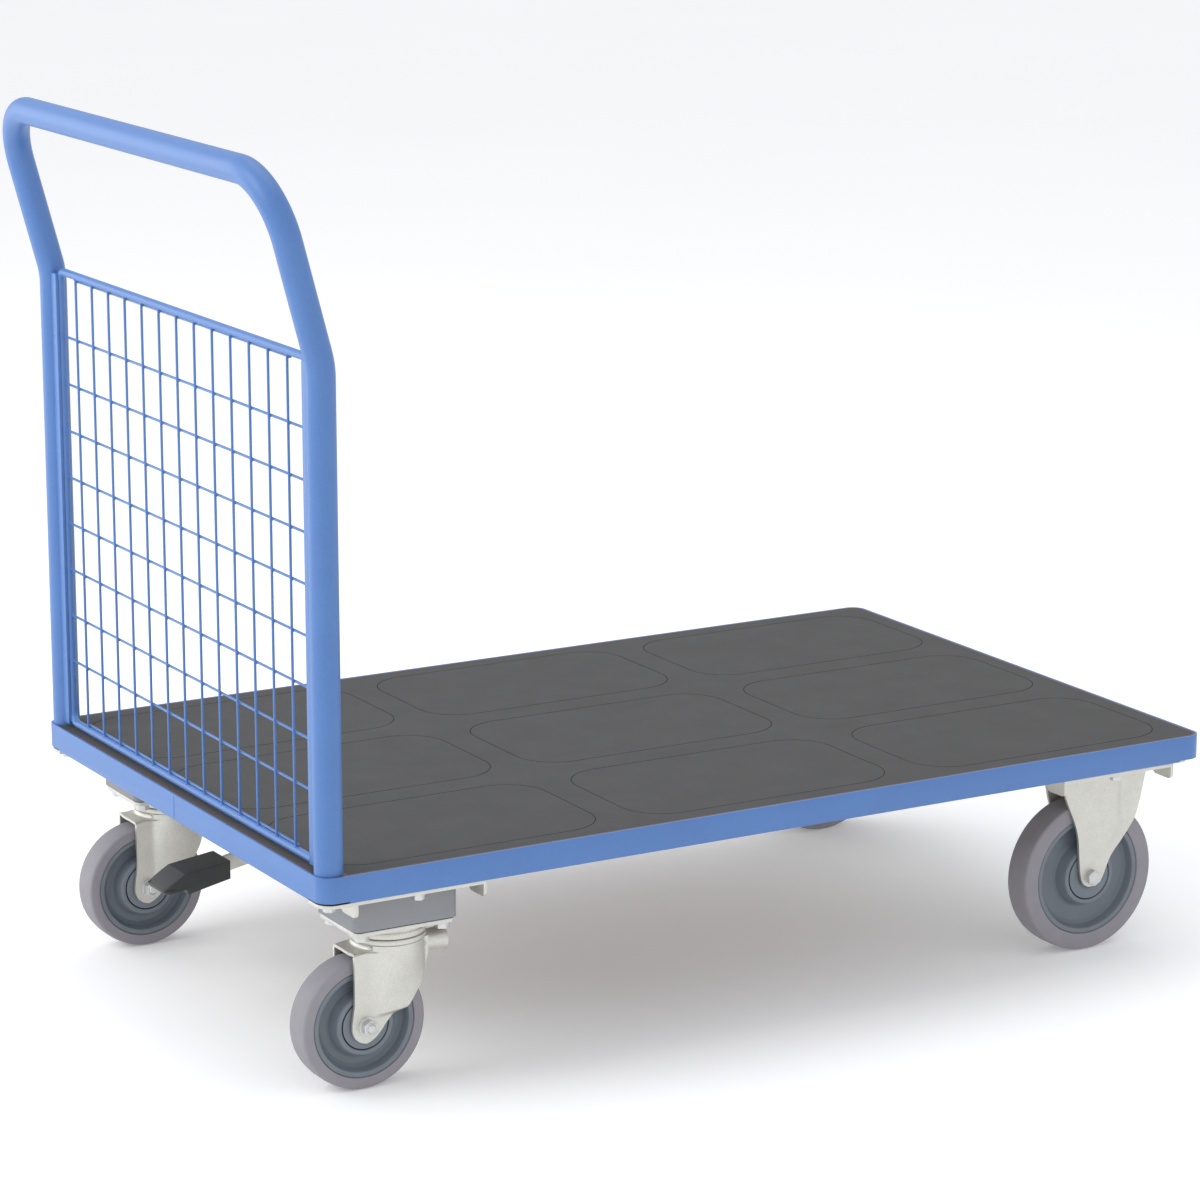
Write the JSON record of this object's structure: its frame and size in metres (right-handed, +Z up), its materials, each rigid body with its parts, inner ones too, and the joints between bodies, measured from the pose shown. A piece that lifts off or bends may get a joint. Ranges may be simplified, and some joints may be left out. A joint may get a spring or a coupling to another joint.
{
  "type": "flatbed platform truck",
  "caption": "Flatbed platform truck with a matted deck, a raked tube handle over a wire mesh end panel, braked swivel casters and larger fixed wheels.",
  "frame": {"origin": "on the ground under the middle of the overall box", "axes": "+X towards the free end of the deck, +Y across the deck to the left of a person pushing from the handle end, +Z up"},
  "size_m": [1.3045, 0.8, 1.1023],
  "materials": {
    "blue_powder_coat": "powder-coated, fine satin",
    "zinc_plated_steel": "zinc-plated, satin",
    "plain_steel": "machined",
    "plywood": "film-faced plywood",
    "mat_rubber": "matt, finely textured",
    "grey_painted_steel": "satin",
    "black_rubber": "matt",
    "grey_tyre": "matt elastic tread",
    "grey_polyamide": "moulded, satin",
    "black_plastic": "moulded, fine grain"
  },
  "bodies": {
    "chassis": {"bracket_plate_bolts": "zinc_plated_steel", "brake_shaft_hangers": "zinc_plated_steel", "carrier_bolts": "zinc_plated_steel", "caster_gaskets": "black_rubber", "caster_kingpins": "zinc_plated_steel", "caster_plate_bolts": "zinc_plated_steel", "caster_plate_left": "zinc_plated_steel", "caster_plate_right": "zinc_plated_steel", "corner_bolts": "zinc_plated_steel", "deck_board": "plywood", "deck_mat": "mat_rubber", "fixed_bracket_left": "zinc_plated_steel", "fixed_bracket_right": "zinc_plated_steel", "fixed_left_axle_set": "zinc_plated_steel", "fixed_right_axle_set": "zinc_plated_steel", "free_end_carrier": "zinc_plated_steel", "handle_end_carrier": "zinc_plated_steel", "handle_inserts": "plain_steel", "handle_tube": "blue_powder_coat", "mesh_border_rod": "blue_powder_coat", "mesh_cross_wires": "blue_powder_coat", "mesh_strips": "blue_powder_coat", "mesh_upright_wires": "blue_powder_coat", "rim_frame": "blue_powder_coat", "spacer_housing_left": "grey_painted_steel", "spacer_housing_right": "grey_painted_steel", "swivel_bearings": "plain_steel"},
    "swivel_fork_left": {"caster_fork_left": "zinc_plated_steel", "shoe_hinge_pin_left": "plain_steel", "caster_left_axle_set": "zinc_plated_steel"},
    "caster_wheel_left": {"caster_left_tyre": "grey_tyre", "caster_left_wheel_centre": "grey_polyamide", "caster_left_thread_guards": "grey_polyamide", "caster_left_bearings": "plain_steel"},
    "swivel_fork_right": {"caster_fork_right": "zinc_plated_steel", "shoe_hinge_pin_right": "plain_steel", "caster_right_axle_set": "zinc_plated_steel"},
    "caster_wheel_right": {"caster_right_tyre": "grey_tyre", "caster_right_wheel_centre": "grey_polyamide", "caster_right_thread_guards": "grey_polyamide", "caster_right_bearings": "plain_steel"},
    "fixed_wheel_left": {"fixed_left_tyre": "grey_tyre", "fixed_left_wheel_centre": "grey_polyamide", "fixed_left_thread_guards": "grey_polyamide", "fixed_left_bearings": "plain_steel"},
    "fixed_wheel_right": {"fixed_right_tyre": "grey_tyre", "fixed_right_wheel_centre": "grey_polyamide", "fixed_right_thread_guards": "grey_polyamide", "fixed_right_bearings": "plain_steel"},
    "pedal": {"brake_shaft": "plain_steel", "brake_fingers": "plain_steel", "pedal_arm": "zinc_plated_steel", "pedal_pad": "black_plastic"},
    "brake_pin_left": {"brake_pin_left": "plain_steel"},
    "brake_shoe_left": {"brake_shoe_left": "zinc_plated_steel"},
    "brake_pin_right": {"brake_pin_right": "plain_steel"},
    "brake_shoe_right": {"brake_shoe_right": "zinc_plated_steel"}
  },
  "joints": [
    {"name": "caster_swivel_left", "type": "hinge", "parent": "chassis", "child": "swivel_fork_left", "pos_m": [-0.46974, 0.31, 0.1882], "axis": [0, 0, 1], "continuous": true},
    {"name": "caster_wheel_spin_left", "type": "hinge", "parent": "swivel_fork_left", "child": "caster_wheel_left", "pos_m": [-0.51074, 0.31, 0.08], "axis": [0, 1, 0], "continuous": true},
    {"name": "caster_swivel_right", "type": "hinge", "parent": "chassis", "child": "swivel_fork_right", "pos_m": [-0.46974, -0.31, 0.1882], "axis": [0, 0, 1], "continuous": true},
    {"name": "caster_wheel_spin_right", "type": "hinge", "parent": "swivel_fork_right", "child": "caster_wheel_right", "pos_m": [-0.51074, -0.31, 0.08], "axis": [0, 1, 0], "continuous": true},
    {"name": "fixed_wheel_spin_left", "type": "hinge", "parent": "chassis", "child": "fixed_wheel_left", "pos_m": [0.52876, 0.31, 0.1], "axis": [0, 1, 0], "continuous": true},
    {"name": "fixed_wheel_spin_right", "type": "hinge", "parent": "chassis", "child": "fixed_wheel_right", "pos_m": [0.52876, -0.31, 0.1], "axis": [0, 1, 0], "continuous": true},
    {"name": "pedal_press", "type": "hinge", "parent": "chassis", "child": "pedal", "pos_m": [-0.45374, 0, 0.227], "axis": [0, -1, 0], "range_deg": [0, 12]},
    {"name": "brake_pin_slide_left", "type": "slide", "parent": "chassis", "child": "brake_pin_left", "axis": [0, 0, -1], "range_m": [0, 0.0034]},
    {"name": "brake_shoe_hinge_left", "type": "hinge", "parent": "swivel_fork_left", "child": "brake_shoe_left", "pos_m": [-0.43724, 0.31, 0.1691], "axis": [0, -1, 0], "range_deg": [0, 6]},
    {"name": "brake_pin_slide_right", "type": "slide", "parent": "chassis", "child": "brake_pin_right", "axis": [0, 0, -1], "range_m": [0, 0.0034]},
    {"name": "brake_shoe_hinge_right", "type": "hinge", "parent": "swivel_fork_right", "child": "brake_shoe_right", "pos_m": [-0.43724, -0.31, 0.1691], "axis": [0, -1, 0], "range_deg": [0, 6]}
  ],
  "couplings": [
    {"joint": "brake_pin_slide_left", "follows": "pedal_press", "m_per_rad": 0.016},
    {"joint": "brake_shoe_hinge_left", "follows": "pedal_press", "ratio": 0.49231},
    {"joint": "brake_pin_slide_right", "follows": "pedal_press", "m_per_rad": 0.016},
    {"joint": "brake_shoe_hinge_right", "follows": "pedal_press", "ratio": 0.49231}
  ]
}
